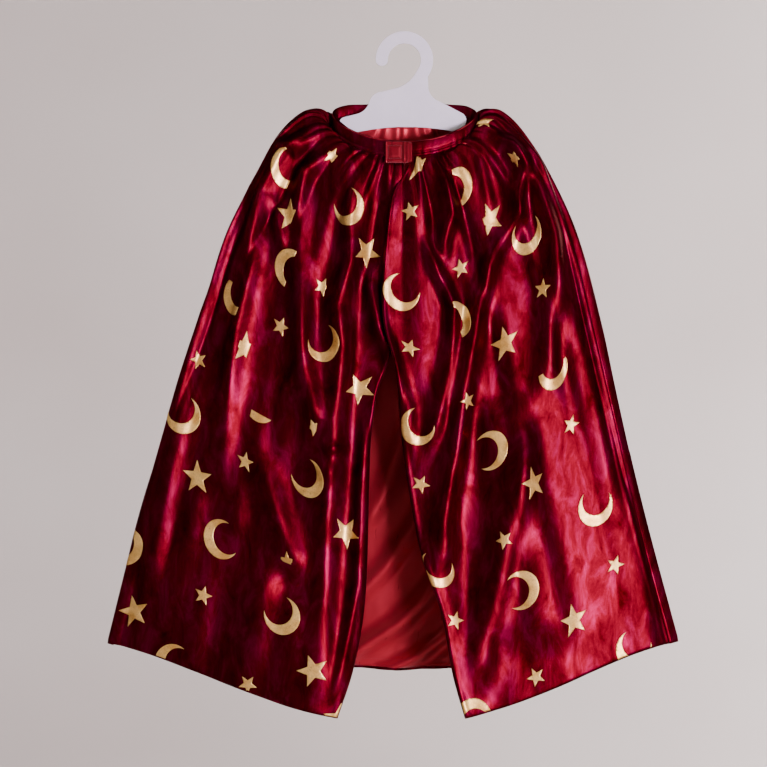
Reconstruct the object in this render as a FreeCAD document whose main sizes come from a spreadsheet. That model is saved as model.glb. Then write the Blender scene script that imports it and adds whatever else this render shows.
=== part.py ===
import FreeCAD, Part

# A child's gathered velvet cape, hanging closed on its card hanger.
# Millimetres, +Z up. The origin is the centre of the hook's inner arc, so the rail that carries
# the hanger runs along Y. The cape opens towards -Y; its back lies towards +Y.

import math
import os

from FreeCAD import Placement, Rotation, Vector

DIMENSIONS = [
    # hanger
    ("card_thickness", 3.0, "card of the hanger"),
    ("hook_radius", 19.0, "inner arc of the hook"),
    ("hook_band", 14.0, "width of the hook's band"),
    # neck of the cape
    ("neck_half_width", 84.0, "half the neckband's width, outside"),
    ("band_height", 16.5, "height of the neckband"),
    ("band_thickness", 5.6, "folded neckband with the cloth inside it"),
    ("band_wall", 1.2, "one wall of the folded neckband"),
    ("stiffener_gap", 0.3, "air round the interfacing in the neckband"),
    ("stiffener_thickness", 0.6, "interfacing"),
    ("stiffener_above", 6.0, "interfacing's lower edge above the neckband's"),
    ("upper_gathers", 5.0, "upper gathering thread above the neckband's lower edge"),
    ("lower_gathers", 2.0, "lower gathering thread above the neckband's lower edge"),
    ("seam_clearance", 1.0, "gap between the neckband and the cloth under it"),
    ("neck_side", -78.0, "height of the neck seam at the sides"),
    ("neck_front", -113.0, "height of the neck seam at centre front"),
    ("neck_back", -67.0, "height of the neck seam at centre back"),
    # hem of the cape
    ("hem_front", -759.0, "height of the hem at centre front"),
    ("hem_back", -704.0, "height of the hem at centre back"),
    ("hem_bow", 1.6, "how much squarer the hem's line is than the neck's"),
    # side lines, about which the fronts open
    ("line_top", -70.0, "height of the upper end of each side line"),
    ("line_bottom", -700.0, "height of the lower end of each side line"),
    ("line_top_half", 70.0, "side lines' distance from the middle at the top"),
    ("line_left", 288.0, "left side line's distance from the middle at the bottom"),
    ("line_right", 255.0, "right side line's distance from the middle at the bottom"),
    ("line_gap", 1.0, "half the gap between a front and the back"),
    # cloth
    ("velvet", 1.5, "pile and ground of the velvet"),
    ("ply_gap", 0.5, "air between two plies"),
    ("thread", 0.6, "seam threads"),
    ("lining", 0.8, "satin lining"),
    ("seam_width", 3.0, "width of a thread seam"),
    # closing tab
    ("tab_left", -21.0, "free end of the tab"),
    ("tab_right", 5.0, "sewn end of the tab, where it bends open"),
    ("tab_bottom", -118.0, "lower edge of the tab"),
    ("tab_height", 23.0, "height of the tab"),
    ("tab_thickness", 1.2, "satin of the tab, doubled"),
    ("tape_thickness", 1.3, "hook tape, loop tape"),
    ("tape_width", 17.0, "width of the tapes"),
    ("tape_height", 14.0, "height of the tapes"),
    ("tab_corner", 1.5, "rounding of the tab's corners"),
    ("tape_behind", 0.3, "gap between the band and the loop tape"),
    ("tape_between", 0.4, "gap between the two tapes"),
    ("tape_front", 0.1, "gap between the hook tape and the tab"),
    ("tab_square", 15.0, "side of the square stitched on the tab"),
    ("tape_square", 12.0, "side of the square that holds the loop tape"),
    ("stitch_width", 0.8, "width of the stitched line"),
    # care label
    ("label_width", 30.0, "care label"),
    ("label_length", 8.5, "care label"),
    ("label_thickness", 0.5, "care label"),
    ("label_drop", 1.0, "care label's top below the back neck seam"),
    ("label_behind", 6.0, "care label's distance behind the middle of the card"),
]

# How the closed cape hangs, from the neck seam (share 0) to the hem (share 1).
# share, left half width, right half width, height of the side folds, depth in front, depth behind
HANG = [
    (0.00, 84.0, 84.0, -78.0, 30.0, 14.0),
    (0.03, 97.0, 95.0, -69.0, 31.0, 16.0),
    (0.06, 116.0, 111.0, -64.0, 31.0, 18.0),
    (0.12, 148.0, 141.0, -87.0, 30.0, 21.0),
    (0.18, 168.0, 163.0, -123.0, 29.0, 23.0),
    (0.30, 207.0, 194.0, -199.0, 30.0, 27.0),
    (0.45, 238.0, 218.5, -300.0, 32.0, 30.0),
    (0.60, 270.5, 242.0, -400.0, 35.0, 33.0),
    (0.80, 310.0, 273.0, -533.0, 40.0, 37.0),
    (1.00, 345.0, 310.5, -670.0, 45.0, 41.0),
]
LEFT_WIDTH = 1
RIGHT_WIDTH = 2
SIDE_HEIGHT = 3
FRONT_DEPTH = 4
BACK_DEPTH = 5

# The front edges: share of the length, distance from the middle (negative is to the left).
RIGHT_EDGE = [(0.00, 3.0), (0.06, -12.0), (0.15, -22.0), (0.30, -23.0), (0.37, -11.0),
              (0.52, -2.0), (0.70, 18.0), (0.81, 41.0), (0.92, 54.0), (1.00, 68.0)]
LEFT_EDGE = [(0.00, -1.0), (0.06, -16.0), (0.15, -26.0), (0.30, -27.0), (0.37, -22.0),
             (0.44, -36.0), (0.55, -40.0), (0.79, -45.0), (0.91, -58.0), (1.00, -76.0)]

DOWN_ROWS = 22
PANEL_COLUMNS = 15
BACK_COLUMNS = 59
BAND_STEP = 4.0

doc = FreeCAD.newDocument("GatheredCape")
sheet = doc.addObject("Spreadsheet::Sheet", "Dimensions")
for row, (alias, value, meaning) in enumerate(DIMENSIONS, start=1):
    sheet.set("A%d" % row, str(value))
    sheet.setAlias("A%d" % row, alias)
    sheet.set("B%d" % row, meaning)
doc.recompute()

sub_parts = []


def size(alias):
    return float(sheet.get(alias))


def named(item, label):
    """Give a sub-part its own name and put it on the list of pieces to write."""
    item.Label = label
    sub_parts.append(item)
    return item


# ---------------------------------------------------------------- shape of the hanging cape

def read_off(table, column, share):
    """Smooth reading of a table's column between its rows."""
    rows = len(table)
    low = 0
    while low < rows - 2 and share > table[low + 1][0]:
        low += 1

    def slope(index):
        before = max(index - 1, 0)
        after = min(index + 1, rows - 1)
        rise = table[after][column] - table[before][column]
        return rise / (table[after][0] - table[before][0])

    span = table[low + 1][0] - table[low][0]
    t = (share - table[low][0]) / span
    start = table[low][column]
    end = table[low + 1][column]
    return ((2 * t ** 3 - 3 * t ** 2 + 1) * start + (t ** 3 - 2 * t ** 2 + t) * span * slope(low)
            + (3 * t ** 2 - 2 * t ** 3) * end + (t ** 3 - t ** 2) * span * slope(low + 1))


def mixed(front_value, back_value, cosine, power=1.0):
    """A value that is 0 at the side folds and takes the two given values in front and behind."""
    strength = abs(cosine) ** power
    half_sum = (front_value + back_value) / 2
    half_difference = (front_value - back_value) / 2
    return strength * (math.copysign(1.0, cosine) * half_difference + abs(cosine) * half_sum)


def side_normal(column, share):
    """Outward normal of the cape's silhouette, as (sideways, up)."""
    step = 0.004
    low = max(share - step, 0.0)
    high = min(share + step, 1.0)
    run = read_off(HANG, column, high) - read_off(HANG, column, low)
    rise = read_off(HANG, SIDE_HEIGHT, high) - read_off(HANG, SIDE_HEIGHT, low)
    length = math.hypot(run, rise)
    return -rise / length, run / length


def cape_point(angle, share, inset=0.0):
    """Point of the cape. Angle 0 is centre front, +90 the right side fold, 180 centre back."""
    sine = math.sin(math.radians(angle))
    cosine = math.cos(math.radians(angle))
    column = RIGHT_WIDTH if sine >= 0 else LEFT_WIDTH
    sideways, upward = side_normal(column, share)
    level_inset = inset * (sideways * sine ** 2 + cosine ** 2)
    half_width = read_off(HANG, column, share) - level_inset
    front_depth = read_off(HANG, FRONT_DEPTH, share) - level_inset
    back_depth = read_off(HANG, BACK_DEPTH, share) - level_inset
    side = read_off(HANG, SIDE_HEIGHT, share)
    front = size("neck_front") + share * (size("hem_front") - size("neck_front"))
    back = size("neck_back") + share * (size("hem_back") - size("neck_back"))
    power = 1.0 + size("hem_bow") * share
    return Vector(half_width * sine,
                  -mixed(front_depth, -back_depth, cosine),
                  side + mixed(front - side, back - side, cosine, power) - inset * upward * sine ** 2)


def line_distance(side, height):
    """Distance from the middle of a side line (side -1 left, +1 right) at a height."""
    bottom = size("line_right") if side > 0 else size("line_left")
    fall = (size("line_top") - height) / (size("line_top") - size("line_bottom"))
    return size("line_top_half") + fall * (bottom - size("line_top_half"))


def line_angle(side, share, offset):
    """Angle at which the cape crosses a side line moved outwards by an offset."""
    column = RIGHT_WIDTH if side > 0 else LEFT_WIDTH
    angle = 60.0
    for _ in range(40):
        height = cape_point(side * angle, share).z
        distance = line_distance(side, height) + offset
        angle = math.degrees(math.asin(distance / read_off(HANG, column, share)))
    return side * angle


def edge_angle(side, share, offset):
    """Angle of a front edge moved outwards by an offset."""
    edge = read_off(RIGHT_EDGE if side > 0 else LEFT_EDGE, 1, share) + side * offset
    column = RIGHT_WIDTH if edge >= 0 else LEFT_WIDTH
    return math.degrees(math.asin(edge / read_off(HANG, column, share)))


# ---------------------------------------------------------------- solids of cloth

def sewn_solid(faces):
    """Closed solid from faces that meet edge to edge."""
    shell = Part.Shell(faces)
    shell.sewShape()
    solid = Part.Solid(shell)
    if solid.Volume < 0:
        solid.reverse()
    return solid


def knot_vector(count, degree):
    """Evenly spaced knots and their multiplicities for a curve clamped at both ends."""
    spans = count - degree
    return [k / spans for k in range(spans + 1)], [degree + 1] + [1] * (spans - 1) + [degree + 1]


def surface_on(poles, down_degree=3, across_degree=3):
    """Smooth face drawn by a grid of poles, with its borders on the grid's borders."""
    down_knots, down_multiplicities = knot_vector(len(poles), down_degree)
    across_knots, across_multiplicities = knot_vector(len(poles[0]), across_degree)
    surface = Part.BSplineSurface()
    surface.buildFromPolesMultsKnots(poles, down_multiplicities, across_multiplicities,
                                     down_knots, across_knots, False, False,
                                     down_degree, across_degree)
    return surface.toShape()


def ply_solid(start, end, top, bottom, outer, inner, columns, rows=DOWN_ROWS):
    """Closed sheet between two lines of the cape (angle as a function of share) and two shares."""
    grids = []
    for inset in (outer, inner):
        grid = []
        for i in range(rows):
            share = top + (bottom - top) * (i / (rows - 1)) ** 1.4
            first = start(share)
            last = end(share)
            grid.append([cape_point(first + (last - first) * k / (columns - 1), share, inset)
                         for k in range(columns)])
        grids.append(grid)
    faces = [surface_on(grid) for grid in grids]
    for row in (0, -1):
        faces.append(surface_on([grid[row] for grid in grids], 1, 3))
    for column in (0, -1):
        faces.append(surface_on([[line[column] for line in grid] for grid in grids], 1, 3))
    return sewn_solid(faces)


def band_point(angle, drop, inset):
    """Point of the neckband, a drop below its top edge and an inset behind its outer face."""
    sine = math.sin(math.radians(angle))
    cosine = math.cos(math.radians(angle))
    half_width = size("neck_half_width") - inset
    front_depth = HANG[0][FRONT_DEPTH] - inset
    back_depth = HANG[0][BACK_DEPTH] - inset
    side = size("neck_side")
    seam = side + mixed(size("neck_front") - side, size("neck_back") - side, cosine)
    top = seam + size("seam_clearance") + size("band_height")
    return Vector(half_width * sine, -mixed(front_depth, -back_depth, cosine), top - drop)


def band_solid(profile, first, last):
    """Sweep a profile of (drop, inset) corners round the neck between two angles."""
    count = max(4, int(abs(last - first) / BAND_STEP))
    angles = [first + (last - first) * k / count for k in range(count + 1)]
    lines = [[band_point(angle, drop, inset) for angle in angles] for drop, inset in profile]
    faces = [surface_on([lines[k - 1], lines[k]], 1, 3) for k in range(len(lines))]
    for end in (0, -1):
        corners = [line[end] for line in lines]
        faces.append(Part.Face(Part.makePolygon(corners + corners[:1])))
    return sewn_solid(faces)


def cloth_feature(label, shapes):
    """A soft piece that hangs in a free shape; its sizes come from the sheet."""
    feature = doc.addObject("Part::Feature", label)
    feature.Shape = shapes[0] if len(shapes) == 1 else Part.makeCompound(shapes)
    feature.Placement = Placement()
    return named(feature, label)


# Depths below the cape's outer face at which each ply starts and ends.
VELVET = (0.0, size("velvet"))
THREAD_START = VELVET[1] + size("ply_gap")
THREAD = (THREAD_START, THREAD_START + size("thread"))
LINING_START = THREAD[1] + size("ply_gap")
LINING = (LINING_START, LINING_START + size("lining"))
SEAM_TOP = 0.02
SEAM_BOTTOM = 0.985
HEM_TOP = 0.990
HEM_BOTTOM = 0.994
FRONT_END = 1.2
SIDE_SPLIT = 66.0
SPLIT_GAP = 1.0
SEAM_INSET = 1.0  # a seam's distance from its cloth's edge, in millimetres


def make_back():
    gap = size("line_gap")
    width = size("seam_width")

    def left_line(share):
        return line_angle(-1, share, gap) + 360.0

    def right_line(share):
        return line_angle(1, share, gap)

    cloth_feature("back_velvet", [ply_solid(right_line, left_line, 0.0, 1.0, *VELVET, BACK_COLUMNS)])
    cloth_feature("back_lining", [ply_solid(right_line, left_line, 0.0, 0.995, *LINING,
                                            BACK_COLUMNS)])
    for name, side in (("left", -1), ("right", 1)):
        turn = 360.0 if side < 0 else 0.0

        def near(share):
            return line_angle(side, share, gap + SEAM_INSET) + turn

        def far(share):
            return line_angle(side, share, gap + SEAM_INSET + width) + turn

        cloth_feature(name + "_side_seam_thread", [ply_solid(near, far, 0.0, 1.0, *THREAD, 4)])

    def hem_right(share):
        return line_angle(1, share, gap + width + 2 * SEAM_INSET)

    def hem_left(share):
        return line_angle(-1, share, gap + width + 2 * SEAM_INSET) + 360.0

    cloth_feature("back_hem_thread", [ply_solid(hem_right, hem_left, HEM_TOP, HEM_BOTTOM,
                                                *THREAD, BACK_COLUMNS, 4)])


def make_front(name, side):
    gap = size("line_gap")
    width = size("seam_width")

    def edge(share):
        return edge_angle(side, share, 0.0)

    def side_line(share):
        return line_angle(side, share, -gap)

    def edge_seam_near(share):
        return edge_angle(side, share, SEAM_INSET)

    def edge_seam_far(share):
        return edge_angle(side, share, SEAM_INSET + width)

    cloth_feature(name + "_velvet", [ply_solid(edge, side_line, 0.0, 1.0, *VELVET, PANEL_COLUMNS)])
    cloth_feature(name + "_lining", [ply_solid(edge, side_line, 0.0, 0.995, *LINING,
                                               PANEL_COLUMNS)])
    cloth_feature(name + "_edge_thread",
                  [ply_solid(edge, side_line, HEM_TOP, HEM_BOTTOM, *THREAD, PANEL_COLUMNS, 4),
                   ply_solid(edge_seam_near, edge_seam_far, SEAM_TOP, SEAM_BOTTOM, *THREAD, 4)])


def make_neckband(name, first, last):
    """Folded strip, open below, with the interfacing and two gathering threads in its fold."""
    wall = size("band_wall")
    height = size("band_height")
    thickness = size("band_thickness")
    fold = [(0, 0), (height, 0), (height, wall), (wall, wall), (wall, thickness - wall),
            (height, thickness - wall), (height, thickness), (0, thickness)]
    cloth_feature(name + "_neckband", [band_solid(fold, first, last)])
    stiff_top = wall + size("stiffener_gap")
    stiff_bottom = height - size("stiffener_above")
    stiff_outer = wall + size("stiffener_gap")
    stiff_inner = stiff_outer + size("stiffener_thickness")
    stiffener = [(stiff_top, stiff_outer), (stiff_bottom, stiff_outer),
                 (stiff_bottom, stiff_inner), (stiff_top, stiff_inner)]
    cloth_feature(name + "_neckband_interfacing", [band_solid(stiffener, first, last)])
    rows = []
    middle = thickness / 2
    radius = size("thread") / 2
    for drop in (height - size("upper_gathers"), height - size("lower_gathers")):
        rows.append(band_solid([(drop - radius, middle - radius), (drop + radius, middle - radius),
                                (drop + radius, middle + radius), (drop - radius, middle + radius)],
                               first, last))
    cloth_feature(name + "_gathering_thread", rows)


# ---------------------------------------------------------------- hanger

def make_hanger():
    """One sheet of card: an open hook, a stem and a low arched shoulder board."""
    inner = size("hook_radius")
    outer = inner + size("hook_band")
    body = doc.addObject("PartDesign::Body", "CardHanger")
    sketch = body.newObject("Sketcher::SketchObject", "HangerOutline")
    plane = [item for item in body.Origin.OriginFeatures if item.Role == "XZ_Plane"][0]
    sketch.AttachmentSupport = [(plane, "")]
    sketch.MapMode = "FlatFace"

    def at(radius, degrees):
        angle = math.radians(degrees)
        return Vector(radius * math.cos(angle), radius * math.sin(angle), 0)

    def arc(*points):
        return Part.Arc(*[Vector(point[0], point[1], 0) for point in points])

    def line(first, last):
        return Part.LineSegment(Vector(first[0], first[1], 0), Vector(last[0], last[1], 0))

    hook_foot = -35
    hook_throat = -40
    outer_end = at(outer, hook_foot)
    inner_end = at(inner, hook_throat)
    outline = [
        Part.Arc(at(outer, 180), at(outer, 70), outer_end),
        line(outer_end, (27.5, -32.0)),
        arc((27.5, -32.0), (31.0, -41.0), (39.0, -47.0)),
        line((39.0, -47.0), (66.0, -61.0)),
        arc((66.0, -61.0), (71.0, -68.0), (68.5, -76.0)),
        arc((68.5, -76.0), (64.0, -81.0), (57.0, -82.5)),
        arc((57.0, -82.5), (-2.0, -77.0), (-61.0, -84.5)),
        arc((-61.0, -84.5), (-68.0, -83.0), (-72.5, -77.5)),
        arc((-72.5, -77.5), (-74.5, -71.0), (-70.0, -66.0)),
        line((-70.0, -66.0), (-54.0, -62.0)),
        arc((-54.0, -62.0), (-45.0, -56.5), (-40.0, -47.5)),
        arc((-40.0, -47.5), (-35.0, -40.0), (-26.0, -36.5)),
        line((-26.0, -36.5), (-7.5, -32.0)),
        arc((-7.5, -32.0), (6.0, -24.0), inner_end),
        Part.Arc(inner_end, at(inner, 80), at(inner, 180)),
        Part.Arc(at(inner, 180), Vector(-(inner + outer) / 2, -size("hook_band") / 2, 0),
                 at(outer, 180)),
    ]
    sketch.addGeometry(outline, False)
    pad = body.newObject("PartDesign::Pad", "Card")
    pad.Profile = sketch
    pad.setExpression("Length", "Dimensions.card_thickness")
    body.Placement = Placement(Vector(0, size("card_thickness") / 2, 0), Rotation())
    return named(body, "card_hanger")


# ---------------------------------------------------------------- closing tab, tapes and label

def make_block(name, sizes):
    """Box whose edges are bound to the sheet: sizes are expressions for Length, Width, Height."""
    block = doc.addObject("Part::Box", name)
    for edge, expression in zip(("Length", "Width", "Height"), sizes):
        block.setExpression(edge, expression)
    return block


def make_closure():
    """Behind to front: loop tape on the band, hook tape, tab, stitched square."""
    tab_middle = (size("tab_right") + size("tab_left")) / 2
    tab_centre = size("tab_bottom") + size("tab_height") / 2
    band_front = -HANG[0][FRONT_DEPTH]
    loop_front = band_front - size("tape_behind") - size("tape_thickness")
    hook_front = loop_front - size("tape_between") - size("tape_thickness")
    tab_front = hook_front - size("tape_front") - size("tab_thickness")
    tape_left = size("tab_left") + size("tab_corner")
    tape_bottom = tab_centre - size("tape_height") / 2
    tape = ("Dimensions.tape_width", "Dimensions.tape_thickness", "Dimensions.tape_height")

    loop = make_block("LoopTape", tape)
    loop.Placement = Placement(Vector(tape_left, loop_front, tape_bottom), Rotation())
    named(loop, "loop_tape")

    hook = make_block("HookTape", tape)
    hook.Placement = Placement(Vector(tape_left, hook_front, tape_bottom), Rotation())
    named(hook, "hook_tape")

    blank = make_block("TabBlank", ("Dimensions.tab_right - Dimensions.tab_left",
                                    "Dimensions.tab_thickness", "Dimensions.tab_height"))
    doc.recompute()
    tab = doc.addObject("Part::Fillet", "ClosureTab")
    tab.Base = blank
    corner = size("tab_corner")
    upright = [k + 1 for k, edge in enumerate(blank.Shape.Edges)
               if abs(edge.Vertexes[0].Y - edge.Vertexes[1].Y) > size("tab_thickness") / 2]
    tab.Edges = [(number, corner, corner) for number in upright]
    tab.Placement = Placement(Vector(size("tab_left"), tab_front, size("tab_bottom")), Rotation())
    named(tab, "closure_tab")

    tape_middle = tape_left + size("tape_width") / 2
    for label, square, middle, front in (
            ("tab_thread", "Dimensions.tab_square", tab_middle, tab_front),
            ("loop_tape_thread", "Dimensions.tape_square", tape_middle, loop_front)):
        inside = square + " - 2 * Dimensions.stitch_width"
        outer = make_block(label + "_outer", (square, "Dimensions.stitch_width / 4", square))
        inner = make_block(label + "_inner", (inside, "Dimensions.stitch_width", inside))
        doc.recompute()
        offset = size("stitch_width")
        inner.Placement = Placement(Vector(offset, -offset / 4, offset), Rotation())
        frame = doc.addObject("Part::Cut", label)
        frame.Base = outer
        frame.Tool = inner
        side = float(outer.Length)
        frame.Placement = Placement(Vector(middle - side / 2, front - offset / 4,
                                           tab_centre - side / 2), Rotation())
        named(frame, label)


def make_label():
    """Care label, sewn into the back neck seam and hanging behind the hanger."""
    label = make_block("CareLabel", ("Dimensions.label_width", "Dimensions.label_thickness",
                                     "Dimensions.label_length"))
    top = size("neck_back") - size("label_drop")
    label.Placement = Placement(Vector(-size("label_width") / 2, size("label_behind"),
                                       top - size("label_length")), Rotation())
    named(label, "care_label")


make_hanger()
make_back()
make_front("front_left", -1)
make_front("front_right", 1)
make_neckband("back", SIDE_SPLIT + SPLIT_GAP, 360.0 - SIDE_SPLIT - SPLIT_GAP)
make_neckband("front_left", -SIDE_SPLIT + SPLIT_GAP, -FRONT_END)
make_neckband("front_right", FRONT_END, SIDE_SPLIT - SPLIT_GAP)
make_closure()
make_label()

doc.recompute()
for item in doc.Objects:
    if "Invalid" in item.State or "Error" in item.State:
        raise RuntimeError("%s did not recompute: %s" % (item.Label, item.State))
for item in sub_parts:
    if item.Shape.isNull() or not item.Shape.isValid():
        raise RuntimeError("%s has no valid shape" % item.Label)

os.makedirs("parts", exist_ok=True)
for item in sub_parts:
    item.Shape.exportStep("parts/%s.step" % item.Label)
    box = item.Shape.BoundBox
    print("%-32s x %7.1f %7.1f  y %6.1f %6.1f  z %7.1f %7.1f  solids %d  %8.1f mm3" % (
        item.Label, box.XMin, box.XMax, box.YMin, box.YMax, box.ZMin, box.ZMax,
        len(item.Shape.Solids), item.Shape.Volume))
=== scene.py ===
import math
from contextlib import contextmanager

import bmesh
import bpy
import numpy as np
from mathutils import Matrix, Vector
from mathutils.geometry import delaunay_2d_cdt


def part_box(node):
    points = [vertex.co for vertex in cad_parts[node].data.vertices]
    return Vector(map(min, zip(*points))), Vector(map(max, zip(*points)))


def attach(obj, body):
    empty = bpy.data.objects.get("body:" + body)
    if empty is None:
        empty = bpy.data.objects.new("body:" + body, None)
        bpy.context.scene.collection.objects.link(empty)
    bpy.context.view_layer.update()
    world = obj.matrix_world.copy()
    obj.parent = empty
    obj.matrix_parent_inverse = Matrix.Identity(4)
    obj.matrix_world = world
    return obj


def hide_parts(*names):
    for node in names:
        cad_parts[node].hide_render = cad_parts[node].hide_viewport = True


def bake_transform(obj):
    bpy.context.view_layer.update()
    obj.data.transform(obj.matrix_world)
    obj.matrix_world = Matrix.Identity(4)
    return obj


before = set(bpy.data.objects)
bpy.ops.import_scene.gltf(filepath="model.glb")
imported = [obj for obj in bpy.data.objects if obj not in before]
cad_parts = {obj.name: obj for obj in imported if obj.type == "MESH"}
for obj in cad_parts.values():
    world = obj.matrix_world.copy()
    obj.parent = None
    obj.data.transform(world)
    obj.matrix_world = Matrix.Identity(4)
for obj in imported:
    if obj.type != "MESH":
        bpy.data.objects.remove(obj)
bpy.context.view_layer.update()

MM = 0.001

# ================ the hanging cape, as in the CAD
# share of the length from neck seam to hem, left and right half width, height of the side folds,
# depth in front and behind (millimetres)
LEFT_HALF, RIGHT_HALF, SIDE_HEIGHT, FRONT_DEPTH, BACK_DEPTH = range(1, 6)
HANG = np.array([
    (0.00, 84, 84, -78, 30, 14),
    (0.03, 97, 92, -60, 31, 16),
    (0.06, 116, 111, -60, 31, 18),
    (0.12, 148, 141, -88, 30, 21),
    (0.18, 168, 163, -123, 29, 23),
    (0.30, 207, 194, -199, 30, 27),
    (0.45, 238, 218.5, -300, 32, 30),
    (0.60, 270.5, 242, -400, 35, 33),
    (0.80, 310, 273, -533, 40, 37),
    (1.00, 345, 310.5, -670, 45, 41),
])
NECK_FRONT, NECK_BACK, NECK_SIDE = -113.0, -67.0, -78.0
HEM_FRONT, HEM_BACK, HEM_BOW = -759.0, -704.0, 1.6
BAND_HEIGHT, BAND_THICKNESS = 16.5, 5.6
BAND_TOP, BAND_BOTTOM = BAND_HEIGHT + 1.0, -1.5
BAND_GROOVE, BAND_GROOVE_DEPTH = 3.6, 1.1

# front edges as they show: share of the length, distance from the middle
RIGHT_EDGE = np.array([(0.00, 8), (0.03, 0), (0.06, -12), (0.10, -18), (0.15, -22),
                       (0.23, -26), (0.30, -23), (0.37, -11), (0.52, -2), (0.70, 18),
                       (0.81, 41), (0.92, 54), (1.00, 68)])
LEFT_EDGE = np.array([(0.00, -1), (0.05, 1), (0.10, 1), (0.20, -3), (0.30, -10),
                      (0.345, -15), (0.375, -21), (0.42, -31), (0.50, -38), (0.57, -40),
                      (0.79, -45), (0.91, -58), (1.00, -76)])


def read_off(table, column, share):
    """Smooth reading of a table's column between its rows, for an array of shares."""
    at = table[:, 0]
    value = table[:, column]
    slope = np.empty(len(at))
    slope[1:-1] = (value[2:] - value[:-2]) / (at[2:] - at[:-2])
    slope[0] = (value[1] - value[0]) / (at[1] - at[0])
    slope[-1] = (value[-1] - value[-2]) / (at[-1] - at[-2])
    low = np.clip(np.searchsorted(at, share, side="left") - 1, 0, len(at) - 2)
    span = at[low + 1] - at[low]
    t = (share - at[low]) / span
    return ((2 * t ** 3 - 3 * t ** 2 + 1) * value[low] + (t ** 3 - 2 * t ** 2 + t) * span * slope[low]
            + (3 * t ** 2 - 2 * t ** 3) * value[low + 1] + (t ** 3 - t ** 2) * span * slope[low + 1])


def mixed(front_value, back_value, cosine, power=1.0):
    strength = np.abs(cosine) ** power
    half_sum = (front_value + back_value) / 2
    half_difference = (front_value - back_value) / 2
    return strength * (np.copysign(1.0, cosine) * half_difference + np.abs(cosine) * half_sum)


def half_width(across, share):
    """Half width of the cape, on the left where across is below 0 and else on the right."""
    return np.where(across >= 0, read_off(HANG, RIGHT_HALF, share), read_off(HANG, LEFT_HALF, share))


def base_point(angle, share):
    """Points of the smooth cape in millimetres. Angle 0 is centre front, 90 the right side."""
    sine = np.sin(np.radians(angle))
    cosine = np.cos(np.radians(angle))
    side = read_off(HANG, SIDE_HEIGHT, share)
    front = NECK_FRONT + share * (HEM_FRONT - NECK_FRONT)
    back = NECK_BACK + share * (HEM_BACK - NECK_BACK)
    power = 1.0 + HEM_BOW * np.clip(share, 0, 1)
    depth = mixed(read_off(HANG, FRONT_DEPTH, share), -read_off(HANG, BACK_DEPTH, share), cosine)
    height = side + mixed(front - side, back - side, cosine, power)
    return np.stack([half_width(sine, share) * sine, -depth, height], axis=-1)


def base_normal(angle, share):
    turn = 0.4
    step = 0.002
    across = base_point(angle + turn, share) - base_point(angle - turn, share)
    high = np.clip(share + step, 0, 1)
    low = np.clip(share - step, 0, 1)
    down = base_point(angle, high) - base_point(angle, low)
    normal = np.cross(down, across)
    length = np.linalg.norm(normal, axis=-1, keepdims=True)
    return normal / np.maximum(length, 1e-9)


def smooth_step(low, high, value):
    t = np.clip((value - low) / (high - low), 0, 1)
    return t * t * (3 - 2 * t)


def drift(a, b, seed):
    """Smooth, repeatable wandering between about -1 and 1 over two coordinates."""
    random = np.random.default_rng(seed)
    total = 0
    for octave in range(4):
        direction = random.uniform(-1, 1, 2) * (0.7 + 0.5 * octave)
        phase = random.uniform(0, 2 * math.pi)
        total = total + np.sin(a * (0.6 + abs(direction[0])) + b * 2 * direction[1] + phase)
    return total / 3.0


# ---------------- folds
RIDGE_SCALE = 1.45
# the folds stand about this far inside the smooth cape
FOLD_INSET = 4.0
# Ridges of the big folds: (x, z) points down the fold, half width and height, millimetres.
RIDGES = [
    # viewer's left front
    ([(-95, -88), (-140, -101), (-166, -150), (-178, -240), (-193, -310), (-200, -400), (-201, -498),
      (-193, -557)], 13, 10),
    ([(-78, -100), (-114, -130), (-119, -175), (-122, -254), (-117, -324), (-111, -371),
      (-102, -410), (-110, -450)], 12, 11),
    ([(-153, -143), (-147, -175), (-138, -215), (-133, -260)], 8, 6),
    ([(-176, -380), (-170, -455), (-146, -517), (-131, -563), (-108, -610)], 15, 9),
    ([(-56, -120), (-64, -180), (-62, -232), (-78, -281), (-70, -327), (-77, -400), (-88, -520),
      (-92, -640), (-98, -745)], 13, 8),
    ([(-228, -250), (-252, -360), (-272, -480), (-296, -620)], 13, 7),
    ([(-44, -400), (-50, -500), (-53, -600), (-72, -700), (-84, -752)], 7, 6),
    ([(-150, -560), (-168, -640), (-182, -722)], 24, 7),
    ([(-232, -470), (-240, -570), (-250, -700)], 20, 5),
    ([(-134, -600), (-118, -690), (-106, -760), (-100, -820)], 36, 8),
    ([(-100, -424), (-88, -446), (-72, -446), (-60, -434)], 6, 7),
    ([(-118, -458), (-90, -472), (-62, -482)], 10, 7),
    ([(-92, -505), (-70, -512), (-52, -520)], 9, 6),
    # viewer's right front
    ([(30, -112), (45, -130), (53, -178), (44, -210), (38, -260)], 9, 8),
    ([(70, -98), (84, -110), (98, -166), (104, -200)], 7, 7),
    ([(86, -88), (119, -100), (133, -125), (128, -178), (96, -236), (84, -290), (73, -345),
      (58, -448), (44, -529), (46, -600)], 11, 11),
    ([(110, -80), (150, -120), (170, -200), (171, -255), (159, -371), (144, -440), (127, -500),
      (108, -575), (88, -667), (84, -735)], 15, 10),
    ([(20, -200), (40, -250), (56, -285), (54, -318), (46, -379), (36, -420), (22, -463)], 9, 8),
    ([(-38, -225), (-39, -262), (-29, -310), (-11, -352), (2, -400), (8, -470)], 9, 7),
    ([(118, -380), (136, -460), (148, -560), (158, -690)], 44, 9),
    ([(20, -530), (36, -600), (50, -660), (62, -745), (66, -800)], 24, 9),
    ([(252, -470), (272, -560), (290, -664)], 14, 3),
]
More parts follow.
